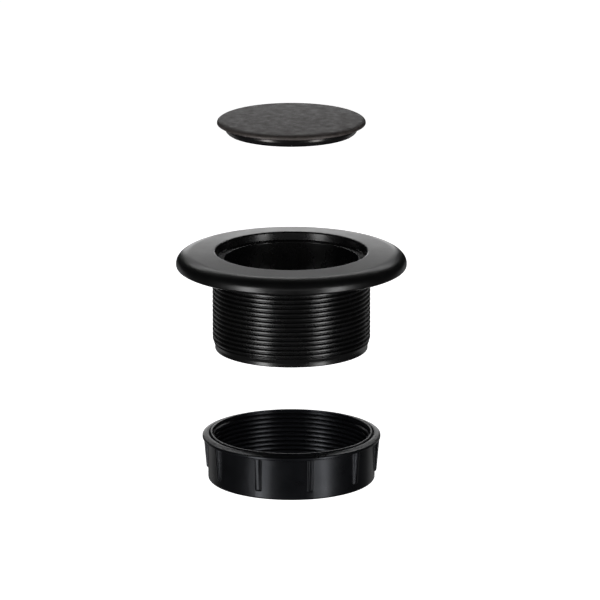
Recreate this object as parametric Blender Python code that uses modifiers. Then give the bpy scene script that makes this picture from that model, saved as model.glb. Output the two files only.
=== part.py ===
"""Threaded ring set for a round 2 in hole in a table or counter top: flanged sleeve, ring nut and press-in cap.

The pieces stand apart on one vertical axis, in the order in which they go together. The origin is on that axis,
in the plane of the flange's underside, which is the plane of the table top. The cap is pressed straight down into
the sleeve's recess. The nut is run up the sleeve's right-hand thread from below, until its lip meets the table.
The nut is one moulding that both turns and rises, so it is made as two solids: the plain outer ring of its conical
lip, which only rises, and the ribbed and threaded barrel, which turns inside that ring.
"""

import math

import bmesh
import bpy

MM = 0.001
SEGMENTS = 40  # flat sides of every round shape, which puts a rib every fourth side
WELD_DISTANCE = 0.00001

# Flanged sleeve, in mm, with heights from the table top
FLANGE_RADIUS = 36.5
FLANGE_THICKNESS = 5.2
FLANGE_CONE_RADIUS = 31.1  # where the shallow cone of the top ends and the outer curve begins
FLANGE_CONE_DROP = 0.4
FLANGE_WIDEST_HEIGHT = 1.27
FLANGE_LOWER_ROUNDING = 0.85
RIM_ROUNDING = 0.7
RECESS_RADIUS = 24.0
RECESS_FOOT_RADIUS = 23.6  # the recess narrows a little towards its ledge
RECESS_DEPTH = 2.6
BORE_RADIUS = 21.2
SLEEVE_REACH = 26.55  # how far the tube reaches below the table top
TUBE_END_CHAMFER = 0.4

# Thread, in mm: M50 x 1.5, right-hand, shallow for moulding
PITCH = 1.5
THREAD_RADIUS = 25.0
THREAD_DEPTH = 0.8
CREST_HALF_WIDTH = 0.15
FLANK_SLOPE = math.tan(math.radians(30))
ROOT_OVERLAP = 0.1  # how far a flank runs on below the surface that its ridge stands on
BURIED_DEPTH = 0.4  # how far a ridge reaches into the wall below that
FADED_DEPTH = 0.1  # part of its depth that a ridge keeps at a faded end, so that the end stays solid
THREAD_CLEARANCE = 0.2
SLEEVE_TURNS = 18
SLEEVE_LOWEST_TURN = -17
SLEEVE_FADE_TURNS = 1.7
NUT_TURNS = 8
NUT_FADE_TURNS = 0.75

# Ring nut, in mm, with heights from its top edge
CONE_RADIUS = 25.5  # where the lip's conical top begins
LIP_RADIUS = 28.35
LIP_DROP = 0.85  # how far the lip's outer edge is below the top edge
LIP_UNDERSIDE = -1.75
LIP_RING_RADIUS = 26.5  # inside the part of the lip that is its own solid
LIP_GAP = 0.3
BARREL_RADIUS = 26.55
NUT_HEIGHT = 15.1
NUT_LOWER_ROUNDING = 0.55
RIB_COUNT = 10
RIB_FIRST_ANGLE = math.radians(-77)
RIB_WIDTH = 1.5
RIB_TOP_RADIUS = 28.1
RIB_END_RADIUS = 27.15
RIB_END_ABOVE_BOTTOM = 2.6
RIB_ROOT_RADIUS = 26.0
NUT_STROKE_TURNS = 36
NUT_STOP_GAP = 0.2  # left between nut and flange when the nut is run right up

# Cap, in mm, with heights from the middle of its top face
CAP_FACE_RADIUS = 21.4
CAP_CROWN = 0.3  # how far the top face falls by the edge of its shallow crown
CAP_CROWN_STEPS = 3
CAP_RADIUS = 23.4
CAP_CURVE_DEPTH = 1.4
CAP_EDGE_HEIGHT = 0.3
CAP_EDGE_SET_IN = 0.1
SKIRT_RADIUS = 21.0
SKIRT_TOP_DEPTH = 2.5
SKIRT_STRAIGHT_DEPTH = 3.1
SKIRT_TAPER_DEPTH = 4.2
SKIRT_TAPER_RADIUS = 20.6
SKIRT_END_RADIUS = 20.1
SKIRT_INNER_RADIUS = 19.2
CAP_PLATE = 1.5
CAP_HEIGHT = 4.6
CAP_STROKE = 43.1

# Where the separate pieces stand, in mm
CAP_TOP_Z = FLANGE_THICKNESS + CAP_STROKE
NUT_TOP_Z = -(NUT_STROKE_TURNS * PITCH + NUT_STOP_GAP)
NUT_LOWEST_TURN = -45.5  # in pitches from the table top: half a pitch out of step with the sleeve's ridge

BLACK_PLASTIC = (0.012, 0.012, 0.013, 1.0)
CAP_PLASTIC = (0.055, 0.052, 0.051, 1.0)


def clear_scene():
    for obj in list(bpy.data.objects):
        bpy.data.objects.remove(obj)


def new_collection(name):
    collection = bpy.data.collections.new(name)
    bpy.context.scene.collection.children.link(collection)
    return collection


def plastic(name, colour, roughness):
    material = bpy.data.materials.new(name)
    material.use_nodes = True
    shader = material.node_tree.nodes["Principled BSDF"]
    shader.inputs["Base Color"].default_value = colour
    shader.inputs["Roughness"].default_value = roughness
    shader.inputs["Metallic"].default_value = 0.0
    return material


def arc(centre, radii, start, end, steps):
    """Points of an elliptical arc in the profile plane, from one angle to another, in degrees from +X."""
    points = []
    for step in range(steps + 1):
        angle = math.radians(start + (end - start) * step / steps)
        points.append((centre[0] + radii[0] * math.cos(angle), centre[1] + radii[1] * math.sin(angle)))
    return points


def outline_mesh(name, outline, closed):
    """A line of edges in the XZ plane through outline's (radius, height) points, given in mm."""
    mesh = bpy.data.meshes.new(name)
    bm = bmesh.new()
    corners = [bm.verts.new((radius * MM, 0.0, height * MM)) for radius, height in outline]
    for first, second in zip(corners, corners[1:]):
        bm.edges.new((first, second))
    if closed:
        bm.edges.new((corners[-1], corners[0]))
    bm.to_mesh(mesh)
    bm.free()
    return mesh


def add_screw(obj, turns, rise):
    screw = obj.modifiers.new("turn", "SCREW")
    screw.axis = "Z"
    screw.angle = math.tau
    screw.steps = SEGMENTS
    screw.render_steps = SEGMENTS
    screw.iterations = turns
    screw.screw_offset = rise * MM
    screw.use_merge_vertices = rise == 0
    screw.merge_threshold = WELD_DISTANCE
    screw.use_smooth_shade = False


def turned(name, outline, closed, collection, material):
    """A turned solid. Its outline is clockwise, so it runs down the outer side."""
    obj = bpy.data.objects.new(name, outline_mesh(name, outline, closed))
    collection.objects.link(obj)
    add_screw(obj, turns=1, rise=0)
    obj.data.materials.append(material)
    return obj


def ridge_profile(crest, root):
    """The thread ridge's section, centred on height 0, with its root carried on into the wall that it stands on."""
    outward = 1 if crest > root else -1
    flank_end = root - outward * ROOT_OVERLAP
    buried = flank_end - outward * BURIED_DEPTH
    base_half_width = CREST_HALF_WIDTH + abs(crest - flank_end) * FLANK_SLOPE
    upper = [(crest, CREST_HALF_WIDTH), (flank_end, base_half_width), (buried, base_half_width)]
    lower = [(radius, -height) for radius, height in reversed(upper)]
    return upper + lower, buried


def helical_ridge(name, crest, root, lowest, turns, fade_turns, collection):
    """A closed thread ridge that climbs one pitch a turn from height lowest and sinks into its wall at faded ends.

    fade_turns holds the number of turns that the ridge takes to rise to its full depth at its lower and upper end.
    """
    profile, buried = ridge_profile(crest, root)
    source = bpy.data.objects.new(name + "_profile", outline_mesh(name + "_profile", profile, closed=True))
    collection.objects.link(source)
    add_screw(source, turns=turns, rise=PITCH)
    evaluated = source.evaluated_get(bpy.context.evaluated_depsgraph_get())
    mesh = bpy.data.meshes.new_from_object(evaluated)
    bpy.data.objects.remove(source)

    bm = bmesh.new()
    bm.from_mesh(mesh)
    section_size = len(profile)
    for number, vert in enumerate(bm.verts):
        turn = number // section_size / SEGMENTS
        depth = 1.0
        for distance, fade in ((turn, fade_turns[0]), (turns - turn, fade_turns[1])):
            if fade:
                depth = min(depth, distance / fade)
        depth = max(depth, FADED_DEPTH)
        radius = math.hypot(vert.co.x, vert.co.y)
        faded = buried * MM + (radius - buried * MM) * depth
        vert.co.x *= faded / radius
        vert.co.y *= faded / radius
        vert.co.z += lowest * MM
    bmesh.ops.holes_fill(bm, edges=[edge for edge in bm.edges if edge.is_boundary])
    bmesh.ops.recalc_face_normals(bm, faces=bm.faces)
    bm.to_mesh(mesh)
    bm.free()

    ridge = bpy.data.objects.new(name, mesh)
    collection.objects.link(ridge)
    hide_tool(ridge)
    return ridge


def hide_tool(obj):
    obj.hide_render = True
    obj.display_type = "WIRE"


def join_solid(obj, other):
    union = obj.modifiers.new("join_" + other.name, "BOOLEAN")
    union.operation = "UNION"
    union.solver = "EXACT"
    union.object = other


def weld_seams(obj):
    """Close up the tiny edges that a union leaves where a ridge's edges cross those of its wall."""
    weld = obj.modifiers.new("weld_seams", "WELD")
    weld.merge_threshold = WELD_DISTANCE


def sleeve_outline():
    rim = FLANGE_THICKNESS
    outline = arc((RECESS_RADIUS + RIM_ROUNDING, rim - RIM_ROUNDING), (RIM_ROUNDING, RIM_ROUNDING), 180, 90, 3)
    curve_radii = (FLANGE_RADIUS - FLANGE_CONE_RADIUS, rim - FLANGE_CONE_DROP - FLANGE_WIDEST_HEIGHT)
    outline += arc((FLANGE_CONE_RADIUS, FLANGE_WIDEST_HEIGHT), curve_radii, 90, 0, 7)
    lower = FLANGE_LOWER_ROUNDING
    outline += arc((FLANGE_RADIUS - lower, lower), (lower, lower), 0, -90, 3)
    root = THREAD_RADIUS - THREAD_DEPTH
    outline += [(root, 0.0), (root, TUBE_END_CHAMFER - SLEEVE_REACH), (root - TUBE_END_CHAMFER, -SLEEVE_REACH)]
    outline += [(BORE_RADIUS + TUBE_END_CHAMFER, -SLEEVE_REACH), (BORE_RADIUS, TUBE_END_CHAMFER - SLEEVE_REACH)]
    outline += [(BORE_RADIUS, rim - RECESS_DEPTH), (RECESS_FOOT_RADIUS, rim - RECESS_DEPTH)]
    return outline


def make_sleeve(parts, tools):
    material = plastic("sleeve", BLACK_PLASTIC, 0.38)
    sleeve = turned("sleeve", sleeve_outline(), True, parts, material)
    root = THREAD_RADIUS - THREAD_DEPTH
    fades = (SLEEVE_FADE_TURNS, 0)
    lowest = SLEEVE_LOWEST_TURN * PITCH
    thread = helical_ridge("sleeve_thread", THREAD_RADIUS, root, lowest, SLEEVE_TURNS, fades, tools)
    join_solid(sleeve, thread)
    weld_seams(sleeve)
    return sleeve


def cone_height(radius):
    """Height of the lip's conical top at a radius."""
    return -LIP_DROP * (radius - CONE_RADIUS) / (LIP_RADIUS - CONE_RADIUS)


def make_nut_lip(parts):
    material = plastic("nut_lip", BLACK_PLASTIC, 0.42)
    outline = [(LIP_RING_RADIUS, cone_height(LIP_RING_RADIUS)), (LIP_RADIUS, -LIP_DROP)]
    outline += [(LIP_RADIUS, LIP_UNDERSIDE), (LIP_RING_RADIUS, LIP_UNDERSIDE)]
    lip = turned("nut_lip", outline, True, parts, material)
    lip.location.z = NUT_TOP_Z * MM
    return lip


def add_rib(bm, angle):
    """One gusset rib: a box whose outer face slopes in towards its lower end."""
    top = LIP_UNDERSIDE - LIP_GAP
    bottom = RIB_END_ABOVE_BOTTOM - NUT_HEIGHT
    corners = bmesh.ops.create_cube(bm, size=1.0)["verts"]
    for vert in corners:
        at_top = vert.co.z > 0
        outer = RIB_TOP_RADIUS if at_top else RIB_END_RADIUS
        radius = outer if vert.co.x > 0 else RIB_ROOT_RADIUS
        across = math.copysign(RIB_WIDTH / 2, vert.co.y)
        height = top if at_top else bottom
        along_x = radius * math.cos(angle) - across * math.sin(angle)
        along_y = radius * math.sin(angle) + across * math.cos(angle)
        vert.co = (along_x * MM, along_y * MM, height * MM)


def make_ribs(tools):
    mesh = bpy.data.meshes.new("nut_ribs")
    bm = bmesh.new()
    for number in range(RIB_COUNT):
        add_rib(bm, RIB_FIRST_ANGLE + number * math.tau / RIB_COUNT)
    bmesh.ops.recalc_face_normals(bm, faces=bm.faces)
    bm.to_mesh(mesh)
    bm.free()
    ribs = bpy.data.objects.new("nut_ribs", mesh)
    tools.objects.link(ribs)
    hide_tool(ribs)
    return ribs


def make_nut_barrel(parts, tools):
    material = plastic("nut_barrel", BLACK_PLASTIC, 0.32)
    bore = THREAD_RADIUS + THREAD_CLEARANCE
    shoulder = LIP_UNDERSIDE - LIP_GAP
    neck = LIP_RING_RADIUS - LIP_GAP
    rounding = NUT_LOWER_ROUNDING
    outline = [(bore, 0.0), (CONE_RADIUS, 0.0), (neck, cone_height(neck)), (neck, shoulder), (BARREL_RADIUS, shoulder)]
    outline += arc((BARREL_RADIUS - rounding, rounding - NUT_HEIGHT), (rounding, rounding), 0, -90, 3)
    outline += [(bore, -NUT_HEIGHT)]
    barrel = turned("nut_barrel", outline, True, parts, material)
    barrel.location.z = NUT_TOP_Z * MM

    crest = THREAD_RADIUS - THREAD_DEPTH + THREAD_CLEARANCE
    fades = (NUT_FADE_TURNS, NUT_FADE_TURNS)
    lowest = NUT_LOWEST_TURN * PITCH
    thread = helical_ridge("nut_thread", crest, bore, lowest, NUT_TURNS, fades, tools)
    ribs = make_ribs(tools)
    ribs.location.z = NUT_TOP_Z * MM
    join_solid(barrel, ribs)
    join_solid(barrel, thread)
    weld_seams(barrel)
    return barrel


def cap_outline():
    outline = []
    for step in range(CAP_CROWN_STEPS):
        part = step / CAP_CROWN_STEPS
        outline.append((CAP_FACE_RADIUS * part, -CAP_CROWN * part ** 2))
    curve_radii = (CAP_RADIUS - CAP_FACE_RADIUS, CAP_CURVE_DEPTH - CAP_CROWN)
    outline += arc((CAP_FACE_RADIUS, -CAP_CURVE_DEPTH), curve_radii, 90, 0, 5)
    outline += [(CAP_RADIUS - CAP_EDGE_SET_IN, -CAP_CURVE_DEPTH - CAP_EDGE_HEIGHT), (SKIRT_RADIUS, -SKIRT_TOP_DEPTH)]
    outline += [(SKIRT_RADIUS, -SKIRT_STRAIGHT_DEPTH), (SKIRT_TAPER_RADIUS, -SKIRT_TAPER_DEPTH)]
    outline += [(SKIRT_END_RADIUS, -CAP_HEIGHT), (SKIRT_INNER_RADIUS, -CAP_HEIGHT)]
    outline += [(SKIRT_INNER_RADIUS, -CAP_PLATE), (0.0, -CAP_PLATE)]
    return outline


def make_cap(parts):
    cap = turned("cap", cap_outline(), False, parts, plastic("cap", CAP_PLASTIC, 0.6))
    cap.location.z = CAP_TOP_Z * MM
    return cap


def main():
    clear_scene()
    parts = new_collection("table_hole_ring")
    tools = new_collection("tools")
    base = bpy.data.objects.new("table_top_centre", None)
    parts.objects.link(base)
    for piece in (make_sleeve(parts, tools), make_nut_lip(parts), make_nut_barrel(parts, tools), make_cap(parts)):
        piece.parent = base


main()
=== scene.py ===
"""Visual model of a threaded table hole ring in black plastic: press-in cap, flanged sleeve, ribbed ring nut.

Every piece is one moulding. The ring nut is shown as two pieces that close up, because its lip only rises
while its barrel turns. The pieces' lengths are in millimetres, and turn into metres where a mesh is made. The
camera, the floor and the lights are in metres.
"""

import math

import bmesh
import bpy
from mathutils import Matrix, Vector


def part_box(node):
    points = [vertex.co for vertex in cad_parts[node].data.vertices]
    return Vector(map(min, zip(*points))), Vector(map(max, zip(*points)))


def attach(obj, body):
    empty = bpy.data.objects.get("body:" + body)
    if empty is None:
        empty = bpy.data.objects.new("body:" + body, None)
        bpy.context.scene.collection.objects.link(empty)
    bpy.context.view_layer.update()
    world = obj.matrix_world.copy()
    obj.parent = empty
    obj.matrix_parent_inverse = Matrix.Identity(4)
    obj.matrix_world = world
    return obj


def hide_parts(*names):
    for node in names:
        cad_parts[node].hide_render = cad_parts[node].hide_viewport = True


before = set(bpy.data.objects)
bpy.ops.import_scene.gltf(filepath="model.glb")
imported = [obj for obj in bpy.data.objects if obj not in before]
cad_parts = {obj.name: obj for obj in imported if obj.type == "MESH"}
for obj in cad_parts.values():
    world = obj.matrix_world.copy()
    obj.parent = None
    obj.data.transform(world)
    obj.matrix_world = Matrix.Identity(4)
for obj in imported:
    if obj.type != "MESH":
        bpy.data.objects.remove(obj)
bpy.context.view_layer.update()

MM = 0.001
TAU = math.tau
MERGE_DISTANCE = 0.001  # mm

# Thread, which is right-hand: it climbs one pitch for each turn from +X towards +Y
PITCH = 1.5
THREAD_RADIUS = 25.0
ROOT_RADIUS = 24.2
SLEEVE_RIDGE = (0.3, 0.72)  # half of the ridge's width on its crest and at its root
NUT_RIDGE = (0.05, 0.42)  # narrow, because it runs in the groove that the sleeve's ridge leaves
RIDGE_ROUNDING = 0.22  # part of the flank that is rounded at its top and at its foot
NUT_CLEARANCE = 0.2
ROWS_PER_TURN = 16

COLUMNS = 180  # of the round pieces without ribs
ARC_STEPS = 5  # of each rounded corner

# Sleeve
RECESS_RADIUS = 24.0
RECESS_FOOT_RADIUS = 23.6
RECESS_DEPTH = 2.6
BORE_RADIUS = 21.2
CONE_END_RADIUS = 31.1  # where the shallow cone of the flange's top ends and its outer curve begins
CONE_END_DROP = 0.4  # how far the cone's end is below the rim
FLANGE_CURVE_START = 86  # degrees from the outward direction
FLANGE_CURVE_STEPS = 20
FLANGE_LOWER_ROUNDING = 0.85
FLANGE_LOWER_STEPS = 8
FLANGE_WIDEST_HEIGHT = 1.27
RIM_ROUNDING = 0.7
UNDERSIDE_RINGS = (3.0, 0.35)  # rings of the flange's underside, out from the thread's crests
NECK_MARGIN = 0.08  # from the thread's crests out to the inner edge of the underside
SLEEVE_THREAD_TOP = -0.02  # just below the flange's underside
SLEEVE_THREAD_BOTTOM = 0.5  # above the tube's end
RUN_OUT_BOTTOM = 1.25  # above the tube's end
RUN_OUT_TOP = 3.6

# Ring nut
RIB_COUNT = 10
RIB_FIRST_ANGLE = math.radians(-77)
RIB_TOP_RADIUS = 28.1
RIB_END_RADIUS = 27.15
RIB_END_ABOVE_BOTTOM = 2.6
# half of one rib with its fillet, as (mm across from its middle, how far it stands out from 0 to 1)
RIB_HALF_SECTION = (
    (0.0, 1.0), (0.36, 1.0), (0.54, 0.97), (0.68, 0.86), (0.75, 0.62), (0.79, 0.3), (0.86, 0.1), (1.0, 0.02),
    (1.2, 0.0),
)
# the rib's lower end, as (mm above its end, how much of the rib is left)
RIB_END = ((0.0, 0.0), (0.04, 0.3), (0.12, 0.6), (0.25, 0.83), (0.42, 0.96), (0.6, 1.0))
WALL_COLUMNS = 7  # between one rib and the next
CONE_RADIUS = 25.5  # where the lip's conical top begins
LIP_DROP = 0.85  # how far the lip's outer edge is below the nut's top edge
LIP_ROUNDING = 0.3
LIP_REACH_IN = 0.3  # how far the lip piece reaches in past the surfaces that it meets
LIP_INNER_ROUNDING = 0.05
SEAM_RADIUS = 26.4  # where the barrel piece ends on the cone and the lip piece begins
BARREL_RADIUS = 26.55
SHOULDER_RISE = 0.05  # from the lip's underside to the top of the barrel's wall
NUT_LOWER_ROUNDING = 0.55
NUT_LOWER_STEPS = 6
RING_SPACING = 0.2  # from an edge of the wall to the ring of points that keeps its shading tight
BELOW_RIB_END = 0.25  # the same, below the ribs
LOWER_FACE_RING = 0.4  # ring on the nut's lower face, out from its bore
NUT_TURN_OFFSET = 0.5  # of a turn, between the nut's ridge and the sleeve's
NUT_RUN_IN = 0.7  # height over which the nut's ridge rises at its ends
NUT_THREAD_END = 0.35  # from either end of the nut to its thread
EDGE_ROUNDING = 0.12

# Cap, with depths from the middle of its top face
CAP_RINGS = 12
CAP_FLAT_RADIUS = 21.4
CAP_CROWN = 0.3  # how far the top face falls from its middle to where its edge curves down
CAP_CURVE_DEPTH = 1.4
CAP_CURVE_START = 87  # degrees from the outward direction
CAP_CURVE_STEPS = 10
CAP_EDGE_HEIGHT = 0.3
SKIRT_RADIUS = 21.0
SKIRT_TOP_DEPTH = 2.35
SKIRT_DRAFT = 0.02  # how far the straight part of the skirt closes in
SKIRT_STRAIGHT_DEPTH = 3.1
SKIRT_TAPER_RADIUS = 20.6
SKIRT_TAPER_DEPTH = 4.1
SKIRT_END_RADIUS = 20.1
SKIRT_INNER_RADIUS = 19.2
HOLLOW_TAPER = 0.1
CAP_PLATE = 1.5
CAP_UNDERSIDE_RINGS = (15.0, 10.0, 5.0, 0.0)

# Plastics: pairs are a darker and a lighter colour, or a smoother and a rougher finish, mixed by a noise
NOISE_RANGE = (0.3, 0.7)
CAP_NOISE_RANGE = (0.35, 0.65)
CAP_COLOURS = ((0.034, 0.0285, 0.0265), (0.074, 0.0645, 0.0605))
CAP_GRAIN_COLOUR = (0.015, 0.0135, 0.0125)
CAP_GRAIN_SHARE = 0.5
CAP_SKIRT_COLOUR = (0.004, 0.004, 0.0045)
CAP_ROUGHNESS = (0.4, 0.62)
CAP_SKIRT_ROUGHNESS = 0.24
CAP_TEXTURE_BLEND = (-2.2, -1.8)  # heights between which the polish gives way to the matt top
CAP_TINT = (1.0, 0.95, 0.92, 1.0)
SLEEVE_COLOURS = ((0.002, 0.002, 0.0021), (0.0035, 0.0035, 0.0037))
SLEEVE_SATIN = (0.28, 0.33)
SLEEVE_POLISH = (0.24, 0.3)
FLANGE_BLEND = (-0.3, 0.1)  # heights between which the polish gives way to the satin flange
RECESS_BLEND = (0.1, 0.6)  # the same across the rim, out from the recess
NUT_COLOURS = ((0.0024, 0.0025, 0.003), (0.0036, 0.0038, 0.0046))
NUT_ROUGHNESS = (0.26, 0.33)
NUT_SPECULAR = 0.22
NUT_TINT = (0.9, 0.93, 1.0, 1.0)

# Camera and studio, in metres
CAMERA_ELEVATION = math.radians(15.0)
CAMERA_DISTANCE = 2.0
CAMERA_TARGET = Vector((0.00272, 0.0, -0.011))
CAMERA_LENS = 379
CAMERA_CLIP_END = 60.0
FLOOR_HEIGHT = -0.35
FLOOR_RADIUS = 9.0
FLOOR_SEGMENTS = 64
ROOM_BLEND = (-0.35, -0.05)  # upward parts of the directions between which the room darkens
ROOM_BELOW = 0.05
ROOM_ABOVE = 0.012
LIGHT_AIM_HEIGHT = -0.01

# Lights: name, degrees from the camera's side (positive to its right), distance, height, size, power in watts
LIGHTS = (
    ("softbox_left", -43, 1.2, -0.1, (0.35, 1.3), 12),
    ("softbox_right", 44.5, 1.2, -0.1, (0.31, 1.3), 9.5),
    ("backdrop_light", 181.5, 1.6, 0.14, (0.56, 0.45), 1.6),
    # behind the object, and low enough to reach the flange's front past the cap
    ("strip_light", 180, 1.35, 0.87, (1.5, 0.16), 3.0),
    # weak fills, mostly for the other sides
    ("front_fill", 0, 2.4, 0.64, (1.8, 0.75), 2),
    ("rear_fill_left", -145, 1.2, -0.4, (0.6, 0.8), 0.4),
    ("rear_fill_right", 145, 1.2, -0.4, (0.6, 0.8), 0.4),
    ("rear_fill_low", 180, 1.2, -0.7, (0.5, 0.5), 2),
)


def box_mm(node):
    low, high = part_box(node)
    return low / MM, high / MM


sleeve_low, sleeve_high = box_mm("sleeve")
cap_low, cap_high = box_mm("cap")
lip_low, lip_high = box_mm("nut_lip")
barrel_low, barrel_high = box_mm("nut_barrel")


# Outlines: lists of (radius, height) points

def arc(centre, radii, start, end, steps):
    """Points of an elliptical arc, from one angle to another, in degrees from the outward direction."""
    points = []
    for step in range(steps + 1):
        angle = math.radians(start + (end - start) * step / steps)
        points.append((centre[0] + radii[0] * math.cos(angle), centre[1] + radii[1] * math.sin(angle)))
    return points


def rounded(corners, first, last):
    """The line from first to last through (radius, height, rounding) corners, each rounded by an arc."""
    points = [first]
    line = [first] + [corner[:2] for corner in corners] + [last]
    for number, corner in enumerate(corners, start=1):
        here = Vector(line[number])
        rounding = corner[2]
        back = (Vector(line[number - 1]) - here).normalized()
        ahead = (Vector(line[number + 1]) - here).normalized()
        half_angle = back.angle(ahead) / 2
        centre = here + (back + ahead).normalized() * (rounding / math.sin(half_angle))
        setback = rounding / math.tan(half_angle)
        start = here + back * setback - centre
        sweep = math.pi - 2 * half_angle
        side = math.copysign(1, start.x * (ahead * setback - back * setback).y
                             - start.y * (ahead * setback - back * setback).x)
        for step in range(ARC_STEPS + 1):
            turn = side * sweep * step / ARC_STEPS
            points.append((centre.x + start.x * math.cos(turn) - start.y * math.sin(turn),
                           centre.y + start.x * math.sin(turn) + start.y * math.cos(turn)))
    points.append(last)
    return points


# Meshes

def place(radius, angle, height):
    return (radius * math.cos(angle) * MM, radius * math.sin(angle) * MM, height * MM)


def even_angles(count):
    return [TAU * number / count for number in range(count)]


def add_turned(bm, outline, angles):
    """Faces of the outline turned about the axis. An end of the outline on the axis closes to a point."""
    rings = []
    for radius, height in outline:
        if radius < MERGE_DISTANCE:
            rings.append([bm.verts.new((0.0, 0.0, height * MM))] * len(angles))
        else:
            rings.append([bm.verts.new(place(radius, angle, height)) for angle in angles])
    add_bands(bm, rings)


def add_bands(bm, rings):
    for ring, following in zip(rings, rings[1:]):
        for column in range(len(ring)):
            after = (column + 1) % len(ring)
            corners = [ring[column], ring[after], following[after], following[column]]
            bm.faces.new(list(dict.fromkeys(corners)))


def soft_step(value, rounding):
    """0 below 0 and 1 above 1, straight between, with both bends rounded."""
    if value <= -rounding:
        return 0.0
    if value >= 1 + rounding:
        return 1.0
    if value < rounding:
        return (value + rounding) ** 2 / (4 * rounding)
    if value > 1 - rounding:
        return 1 - (1 + rounding - value) ** 2 / (4 * rounding)
    return value


def ridge(angle, height, half_widths, turn_offset=0.0):
    """How far a thread ridge stands out there, from 0 at its root to 1 on its crest."""
    crest, root = half_widths
    turns = height / PITCH - angle / TAU - turn_offset
    off_centre = abs(turns - round(turns)) * PITCH
    return soft_step((root - off_centre) / (root - crest), RIDGE_ROUNDING)


def add_thread(bm, radius_at, low, high, angles):
    """A threaded surface between two heights, in rows that follow it for a turn from the first angle."""
    start = angles[0] / TAU
    first_turn = math.floor(low / PITCH - start) - 1
    turns = math.ceil(high / PITCH - start) - first_turn
    rows = []
    for row in range(turns * ROWS_PER_TURN + 1):
        verts = []
        for angle in angles:
            height = (first_turn + row / ROWS_PER_TURN + angle / TAU) * PITCH
            height = min(max(height, low), high)
            verts.append(bm.verts.new(place(radius_at(angle, height), angle, height)))
        rows.append(verts)
    last = len(angles) - 1
    for number, (row, upper) in enumerate(zip(rows, rows[1:])):
        for column in range(last):
            bm.faces.new((row[column], row[column + 1], upper[column + 1], upper[column]))
        if number + ROWS_PER_TURN + 1 < len(rows):
            lap = rows[number + ROWS_PER_TURN]
            upper_lap = rows[number + ROWS_PER_TURN + 1]
            bm.faces.new((row[last], lap[0], upper_lap[0], upper[last]))


def finish_piece(name, bm, origin_height, material, body, node):
    """Close the mesh, make the piece, and hand it to its body in place of its CAD node."""
    bmesh.ops.remove_doubles(bm, verts=bm.verts, dist=MERGE_DISTANCE * MM)
    bmesh.ops.dissolve_degenerate(bm, edges=bm.edges, dist=MERGE_DISTANCE * MM)
    bmesh.ops.delete(bm, geom=[vert for vert in bm.verts if not vert.link_faces], context="VERTS")
    bmesh.ops.recalc_face_normals(bm, faces=bm.faces)
    bmesh.ops.translate(bm, verts=bm.verts, vec=(0.0, 0.0, -origin_height * MM))
    mesh = bpy.data.meshes.new(name)
    bm.to_mesh(mesh)
    bm.free()
    mesh.shade_smooth()
    mesh.materials.append(material)
    piece = bpy.data.objects.new(name, mesh)
    piece.location.z = origin_height * MM
    bpy.context.scene.collection.objects.link(piece)
    shading = piece.modifiers.new("flat_faces_look_flat", "WEIGHTED_NORMAL")
    shading.mode = "FACE_AREA"
    shading.weight = 50
    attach(piece, body)
    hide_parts(node)


# Materials

def plastic_nodes(name):
    material = bpy.data.materials.new(name)
    material.use_nodes = True
    tree = material.node_tree
    return material, tree, tree.nodes["Principled BSDF"], tree.nodes.new("ShaderNodeTexCoord")


def noise(tree, coords, size, detail, roughness=0.5):
    """A noise texture whose features are about size millimetres across."""
    texture = tree.nodes.new("ShaderNodeTexNoise")
    texture.inputs["Scale"].default_value = 1 / (size * MM)
    texture.inputs["Detail"].default_value = detail
    texture.inputs["Roughness"].default_value = roughness
    tree.links.new(coords.outputs["Object"], texture.inputs["Vector"])
    return texture.outputs["Fac"]


def spread(tree, value, low, high, to_low, to_high, smooth=False):
    """Carry a value from one range to another, and hold it at the ends."""
    mapping = tree.nodes.new("ShaderNodeMapRange")
    if smooth:
        mapping.interpolation_type = "SMOOTHSTEP"
    mapping.inputs["From Min"].default_value = low
    mapping.inputs["From Max"].default_value = high
    mapping.inputs["To Min"].default_value = to_low
    mapping.inputs["To Max"].default_value = to_high
    tree.links.new(value, mapping.inputs["Value"])
    return mapping.outputs["Result"]


def height_blend(tree, coords, low, high):
    """0 below one height and 1 above another, both in mm from the piece's origin."""
    split = tree.nodes.new("ShaderNodeSeparateXYZ")
    tree.links.new(coords.outputs["Object"], split.inputs["Vector"])
    return spread(tree, split.outputs["Z"], low * MM, high * MM, 0.0, 1.0, smooth=True)


def radius_blend(tree, coords, low, high):
    """0 inside one radius about the axis and 1 outside another, both in mm."""
    flat = tree.nodes.new("ShaderNodeVectorMath")
    flat.operation = "MULTIPLY"
    flat.inputs[1].default_value = (1.0, 1.0, 0.0)
    length = tree.nodes.new("ShaderNodeVectorMath")
    length.operation = "LENGTH"
    tree.links.new(coords.outputs["Object"], flat.inputs[0])
    tree.links.new(flat.outputs["Vector"], length.inputs[0])
    return spread(tree, length.outputs["Value"], low * MM, high * MM, 0.0, 1.0, smooth=True)


def mix_values(tree, factor, low, high):
    """low where factor is 0 and high where it is 1. Either may be a number or a socket."""
    mix = tree.nodes.new("ShaderNodeMix")
    mix.data_type = "FLOAT"
    tree.links.new(factor, mix.inputs["Factor"])
    for socket, value in ((mix.inputs["A"], low), (mix.inputs["B"], high)):
        if isinstance(value, (int, float)):
            socket.default_value = value
        else:
            tree.links.new(value, socket)
    return mix.outputs["Result"]


def mix_colours(tree, factor, low, high):
    mix = tree.nodes.new("ShaderNodeMix")
    mix.data_type = "RGBA"
    tree.links.new(factor, mix.inputs["Factor"])
    # its colour sockets share their names with others, so they are taken by number
    for socket, value in ((mix.inputs[6], low), (mix.inputs[7], high)):
        if isinstance(value, tuple):
            socket.default_value = (*value, 1.0)
        else:
            tree.links.new(value, socket)
    return mix.outputs[2]


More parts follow.
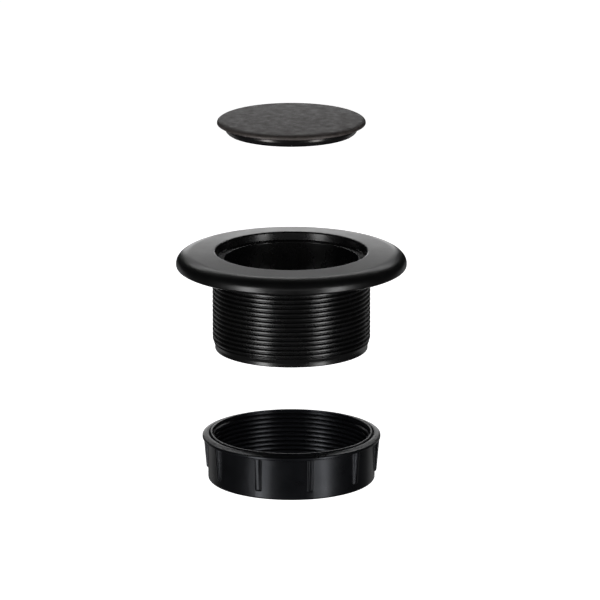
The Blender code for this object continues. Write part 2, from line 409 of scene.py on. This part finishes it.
def add_bump(tree, shader, layers):
    """Chain bumps of (height socket, depth in mm, strength number or socket) onto the shader."""
    normal = None
    for height, depth, strength in layers:
        bump = tree.nodes.new("ShaderNodeBump")
        bump.inputs["Distance"].default_value = depth * MM
        tree.links.new(height, bump.inputs["Height"])
        if isinstance(strength, (int, float)):
            bump.inputs["Strength"].default_value = strength
        else:
            tree.links.new(strength, bump.inputs["Strength"])
        if normal is not None:
            tree.links.new(normal, bump.inputs["Normal"])
        normal = bump.outputs["Normal"]
    tree.links.new(normal, shader.inputs["Normal"])


def make_cap_material():
    """Fine matt texture on the top, polished below its edge."""
    material, tree, shader, coords = plastic_nodes("cap_plastic")
    top = height_blend(tree, coords, *CAP_TEXTURE_BLEND)
    grain = noise(tree, coords, 0.4, 4.0, 0.6)
    cloud = noise(tree, coords, 3.0, 5.0, 0.7)
    clouding = spread(tree, cloud, *CAP_NOISE_RANGE, 0.0, 1.0)
    graining = spread(tree, grain, *CAP_NOISE_RANGE, 0.0, CAP_GRAIN_SHARE)
    grained = mix_colours(tree, graining, mix_colours(tree, clouding, *CAP_COLOURS), CAP_GRAIN_COLOUR)
    tree.links.new(mix_colours(tree, top, CAP_SKIRT_COLOUR, grained), shader.inputs["Base Color"])
    matt = spread(tree, cloud, *CAP_NOISE_RANGE, *CAP_ROUGHNESS)
    tree.links.new(mix_values(tree, top, CAP_SKIRT_ROUGHNESS, matt), shader.inputs["Roughness"])
    shader.inputs["Specular Tint"].default_value = CAP_TINT
    add_bump(tree, shader, [
        (grain, 0.05, mix_values(tree, top, 0.03, 0.5)),
        (cloud, 0.15, mix_values(tree, top, 0.0, 0.5)),
    ])
    return material


def make_sleeve_material():
    """Satin flange with a fine grain, and a glossier thread, recess and bore."""
    material, tree, shader, coords = plastic_nodes("sleeve_plastic")
    above = height_blend(tree, coords, *FLANGE_BLEND)
    outside = radius_blend(tree, coords, RECESS_RADIUS + RECESS_BLEND[0], RECESS_RADIUS + RECESS_BLEND[1])
    flange = mix_values(tree, above, 0.0, outside)
    grain = noise(tree, coords, 0.3, 3.0)
    cloud = noise(tree, coords, 6.0, 3.0, 0.6)
    tone = mix_colours(tree, spread(tree, cloud, *NOISE_RANGE, 0.0, 1.0), *SLEEVE_COLOURS)
    tree.links.new(tone, shader.inputs["Base Color"])
    satin = spread(tree, cloud, *NOISE_RANGE, *SLEEVE_SATIN)
    polished = spread(tree, cloud, *NOISE_RANGE, *SLEEVE_POLISH)
    tree.links.new(mix_values(tree, flange, polished, satin), shader.inputs["Roughness"])
    add_bump(tree, shader, [(grain, 0.02, mix_values(tree, flange, 0.12, 0.25))])
    return material


def make_nut_material():
    """Semi-gloss moulded plastic with a faint flow pattern."""
    material, tree, shader, coords = plastic_nodes("nut_plastic")
    grain = noise(tree, coords, 0.35, 2.0)
    cloud = noise(tree, coords, 7.0, 3.0, 0.6)
    tone = mix_colours(tree, spread(tree, cloud, *NOISE_RANGE, 0.0, 1.0), *NUT_COLOURS)
    tree.links.new(tone, shader.inputs["Base Color"])
    tree.links.new(spread(tree, cloud, *NOISE_RANGE, *NUT_ROUGHNESS), shader.inputs["Roughness"])
    shader.inputs["Specular IOR Level"].default_value = NUT_SPECULAR
    shader.inputs["Specular Tint"].default_value = NUT_TINT
    add_bump(tree, shader, [(grain, 0.015, 0.15), (cloud, 0.1, 0.04)])
    return material


# Pieces

def make_cap(material):
    """Disc with a rounded edge over a short skirt, hollow below."""
    top = cap_high.z
    radius = cap_high.x
    bottom = cap_low.z
    outline = []
    for step in range(CAP_RINGS):
        part = step / CAP_RINGS
        outline.append((CAP_FLAT_RADIUS * part, top - CAP_CROWN * part ** 2))
    edge = top - CAP_CURVE_DEPTH
    curve_radii = (radius - CAP_FLAT_RADIUS, CAP_CURVE_DEPTH - CAP_CROWN)
    outline += arc((CAP_FLAT_RADIUS, edge), curve_radii, CAP_CURVE_START, 0, CAP_CURVE_STEPS)
    # from the disc's edge down the outside of the skirt, and up its inside to the underside of the disc
    underside = top - CAP_PLATE
    corners = [
        (radius, edge - CAP_EDGE_HEIGHT, 0.14),
        (SKIRT_RADIUS, top - SKIRT_TOP_DEPTH, 0.2),
        (SKIRT_RADIUS - SKIRT_DRAFT, top - SKIRT_STRAIGHT_DEPTH, 0.35),
        (SKIRT_TAPER_RADIUS, top - SKIRT_TAPER_DEPTH, 0.3),
        (SKIRT_END_RADIUS, bottom, 0.15),
        (SKIRT_INNER_RADIUS, bottom, 0.15),
        (SKIRT_INNER_RADIUS + HOLLOW_TAPER, underside, 0.4),
    ]
    outline += rounded(corners, (radius, edge), (CAP_UNDERSIDE_RINGS[0], underside))
    outline += [(ring, underside) for ring in CAP_UNDERSIDE_RINGS[1:]]
    bm = bmesh.new()
    add_turned(bm, outline, even_angles(COLUMNS))
    finish_piece("cap_moulding", bm, top, material, "cap", "cap")


def sleeve_radius(angle, height):
    """The sleeve's thread, cut down by a cone where it runs out above the tube's end."""
    above_end = height - sleeve_low.z
    cone = (above_end - RUN_OUT_BOTTOM) / (RUN_OUT_TOP - RUN_OUT_BOTTOM)
    standing = min(ridge(angle, height, SLEEVE_RIDGE), max(cone, 0.0))
    return ROOT_RADIUS + (THREAD_RADIUS - ROOT_RADIUS) * standing


def make_sleeve(material):
    """Flange with a recess for the cap, on an open threaded tube."""
    rim = sleeve_high.z
    radius = sleeve_high.x
    end = sleeve_low.z
    ledge = rim - RECESS_DEPTH
    neck = THREAD_RADIUS + NECK_MARGIN
    angles = even_angles(COLUMNS)
    thread_low = end + SLEEVE_THREAD_BOTTOM
    thread_high = SLEEVE_THREAD_TOP
    # from the thread's lower end round the tube's end, and up the bore to the rim
    corners = [
        (ROOT_RADIUS, end, 0.3),
        (BORE_RADIUS, end, 0.3),
        (BORE_RADIUS, ledge, 0.25),
        (RECESS_FOOT_RADIUS, ledge, 0.2),
        (RECESS_RADIUS, rim, RIM_ROUNDING),
    ]
    outline = rounded(corners, (ROOT_RADIUS, thread_low), (CONE_END_RADIUS, rim - CONE_END_DROP))[:-1]
    curve_radii = (radius - CONE_END_RADIUS, rim - CONE_END_DROP - FLANGE_WIDEST_HEIGHT)
    curve_centre = (CONE_END_RADIUS, FLANGE_WIDEST_HEIGHT)
    outline += arc(curve_centre, curve_radii, FLANGE_CURVE_START, 0, FLANGE_CURVE_STEPS)
    lower = FLANGE_LOWER_ROUNDING
    outline += arc((radius - lower, lower), (lower, lower), 0, -90, FLANGE_LOWER_STEPS)
    outline += [(THREAD_RADIUS + out, 0.0) for out in UNDERSIDE_RINGS]
    outline.append((neck, thread_high))
    bm = bmesh.new()
    add_turned(bm, outline, angles)
    add_thread(bm, sleeve_radius, thread_low, thread_high, angles)
    shoulder = [bm.verts.new(place(neck, angle, thread_high)) for angle in angles]
    foot = [bm.verts.new(place(sleeve_radius(angle, thread_high), angle, thread_high)) for angle in angles]
    add_bands(bm, [shoulder, foot])
    finish_piece("sleeve_moulding", bm, 0.0, material, "sleeve", "sleeve")


def cone_height(radius):
    """Height of the lip's conical top at a radius."""
    return barrel_high.z - LIP_DROP * (radius - CONE_RADIUS) / (lip_high.x - CONE_RADIUS)


def make_nut_lip(material):
    """The outer ring of the nut's conical lip, with a rounded edge. It closes up to the barrel piece."""
    radius = lip_high.x
    bottom = lip_low.z
    corners = [
        (radius, cone_height(radius), LIP_ROUNDING),
        (radius, bottom, LIP_ROUNDING),
        (BARREL_RADIUS - LIP_REACH_IN, bottom, LIP_INNER_ROUNDING),
    ]
    start = (SEAM_RADIUS, cone_height(SEAM_RADIUS))
    inner = (SEAM_RADIUS - LIP_REACH_IN, (start[1] + bottom) / 2)
    outline = rounded(corners, start, inner) + [start]
    bm = bmesh.new()
    add_turned(bm, outline, even_angles(COLUMNS))
    finish_piece("nut_lip_ring", bm, bottom, material, "nut_carriage", "nut_lip")


def barrel_columns():
    """(angle, how far the rib stands out) of each column, round the barrel."""
    columns = []
    sector = TAU / RIB_COUNT
    section = [(-across, standing) for across, standing in reversed(RIB_HALF_SECTION[1:])]
    section += RIB_HALF_SECTION
    edge = section[-1][0] / BARREL_RADIUS
    for rib in range(RIB_COUNT):
        middle = RIB_FIRST_ANGLE + rib * sector
        for across, standing in section:
            columns.append((middle + across / BARREL_RADIUS, standing))
        for number in range(1, WALL_COLUMNS + 1):
            part = number / (WALL_COLUMNS + 1)
            columns.append((middle + edge + (sector - 2 * edge) * part, 0.0))
    return columns


def nut_radius(angle, height):
    """The nut's inner thread, which starts and ends in a chamfer."""
    bore = THREAD_RADIUS + NUT_CLEARANCE
    low_cone = (height - barrel_low.z - NUT_THREAD_END) / NUT_RUN_IN
    high_cone = (barrel_high.z - NUT_THREAD_END - height) / NUT_RUN_IN
    standing = min(ridge(angle, height, NUT_RIDGE, NUT_TURN_OFFSET), max(low_cone, 0.0), max(high_cone, 0.0))
    return bore - (THREAD_RADIUS - ROOT_RADIUS) * standing


def rib_left(above_end):
    """How much of a rib is left at one height above its lower end, from 0 to 1."""
    left = 0.0
    for above, part in RIB_END:
        if above_end >= above - MERGE_DISTANCE:
            left = part
    return left


def make_nut_barrel(material):
    """The nut's barrel, with ribs outside and its thread inside, and the inner part of the conical lip."""
    top = barrel_high.z
    bottom = barrel_low.z
    bore = THREAD_RADIUS + NUT_CLEARANCE
    shoulder = lip_low.z + SHOULDER_RISE
    rib_end = bottom + RIB_END_ABOVE_BOTTOM
    columns = barrel_columns()
    heights = [shoulder, shoulder - RING_SPACING, (shoulder + rib_end) / 2]
    heights += [rib_end + above for above, part in reversed(RIB_END)]
    heights += [rib_end - BELOW_RIB_END, bottom + NUT_LOWER_ROUNDING + RING_SPACING]

    bm = bmesh.new()
    rings = []
    corners = [(bore, top, EDGE_ROUNDING), (CONE_RADIUS, top, EDGE_ROUNDING)]
    neck = rounded(corners, (bore, top - NUT_THREAD_END), (SEAM_RADIUS, cone_height(SEAM_RADIUS)))
    neck.append((SEAM_RADIUS, shoulder))
    for radius, height in neck:
        rings.append([bm.verts.new(place(radius, angle, height)) for angle, standing in columns])
    for height in heights:
        above_end = height - rib_end
        slope = max(above_end, 0.0) / (shoulder - rib_end)
        rib_radius = RIB_END_RADIUS + (RIB_TOP_RADIUS - RIB_END_RADIUS) * slope
        rib_height = (rib_radius - BARREL_RADIUS) * rib_left(above_end)
        rings.append([bm.verts.new(place(BARREL_RADIUS + rib_height * standing, angle, height))
                      for angle, standing in columns])
    rounding = NUT_LOWER_ROUNDING
    curve_centre = (BARREL_RADIUS - rounding, bottom + rounding)
    outline = arc(curve_centre, (rounding, rounding), 0, -90, NUT_LOWER_STEPS)
    outline += rounded([(bore, bottom, EDGE_ROUNDING)], (bore + LOWER_FACE_RING, bottom),
                       (bore, bottom + NUT_THREAD_END))
    for radius, height in outline:
        rings.append([bm.verts.new(place(radius, angle, height)) for angle, standing in columns])
    add_bands(bm, rings)
    angles = [angle for angle, standing in columns]
    add_thread(bm, nut_radius, bottom + NUT_THREAD_END, top - NUT_THREAD_END, angles)
    finish_piece("nut_barrel_ribbed", bm, top, material, "nut", "nut_barrel")


# Studio

def aim(obj, location, target):
    obj.location = location
    obj.rotation_euler = (Vector(target) - Vector(location)).to_track_quat("-Z", "Y").to_euler()


def add_softbox(name, azimuth, distance, height, size, power):
    """A soft rectangular light. Azimuth is in degrees from the camera's side, positive to its right."""
    light = bpy.data.lights.new(name, "AREA")
    light.shape = "RECTANGLE"
    light.size = size[0]
    light.size_y = size[1]
    light.energy = power
    lamp = bpy.data.objects.new(name, light)
    turn = math.radians(azimuth)
    location = (distance * math.sin(turn), -distance * math.cos(turn), height)
    aim(lamp, location, (0.0, 0.0, LIGHT_AIM_HEIGHT))
    lamp.visible_camera = False
    bpy.context.scene.collection.objects.link(lamp)


def make_floor():
    """A plain white floor. Only the camera sees it, so the black plastic doesn't mirror it."""
    bm = bmesh.new()
    bmesh.ops.create_circle(bm, cap_ends=True, segments=FLOOR_SEGMENTS, radius=FLOOR_RADIUS)
    mesh = bpy.data.meshes.new("floor")
    bm.to_mesh(mesh)
    bm.free()
    floor = bpy.data.objects.new("floor", mesh)
    floor.location.z = FLOOR_HEIGHT
    floor.visible_glossy = False
    floor.visible_diffuse = False
    floor.visible_shadow = False
    bpy.context.scene.collection.objects.link(floor)
    material = bpy.data.materials.new("white_floor")
    material.use_nodes = True
    shader = material.node_tree.nodes["Principled BSDF"]
    shader.inputs["Base Color"].default_value = (0.9, 0.9, 0.9, 1.0)
    shader.inputs["Roughness"].default_value = 0.9
    shader.inputs["Emission Color"].default_value = (1.0, 1.0, 1.0, 1.0)
    shader.inputs["Emission Strength"].default_value = 1.0
    mesh.materials.append(material)


def make_world():
    """A dim room for the plastic to mirror, lighter below, and white where the camera sees past the floor."""
    world = bpy.data.worlds.new("studio")
    bpy.context.scene.world = world
    world.use_nodes = True
    tree = world.node_tree
    background = tree.nodes["Background"]
    coords = tree.nodes.new("ShaderNodeTexCoord")
    split = tree.nodes.new("ShaderNodeSeparateXYZ")
    tree.links.new(coords.outputs["Generated"], split.inputs["Vector"])
    room = spread(tree, split.outputs["Z"], *ROOM_BLEND, ROOM_BELOW, ROOM_ABOVE, smooth=True)
    path = tree.nodes.new("ShaderNodeLightPath")
    strength = mix_values(tree, path.outputs["Is Camera Ray"], room, 1.0)
    tree.links.new(strength, background.inputs["Strength"])
    background.inputs["Color"].default_value = (1.0, 1.0, 1.0, 1.0)


def make_camera():
    data = bpy.data.cameras.new("camera")
    data.lens = CAMERA_LENS
    data.clip_end = CAMERA_CLIP_END
    camera = bpy.data.objects.new("camera", data)
    back = Vector((0.0, -math.cos(CAMERA_ELEVATION), math.sin(CAMERA_ELEVATION)))
    aim(camera, CAMERA_TARGET + back * CAMERA_DISTANCE, CAMERA_TARGET)
    bpy.context.scene.collection.objects.link(camera)
    bpy.context.scene.camera = camera


def make_studio():
    make_floor()
    make_world()
    make_camera()
    for light in LIGHTS:
        add_softbox(*light)
    bpy.context.scene.view_settings.view_transform = "Standard"


make_cap(make_cap_material())
make_sleeve(make_sleeve_material())
nut_material = make_nut_material()
make_nut_lip(nut_material)
make_nut_barrel(nut_material)
make_studio()
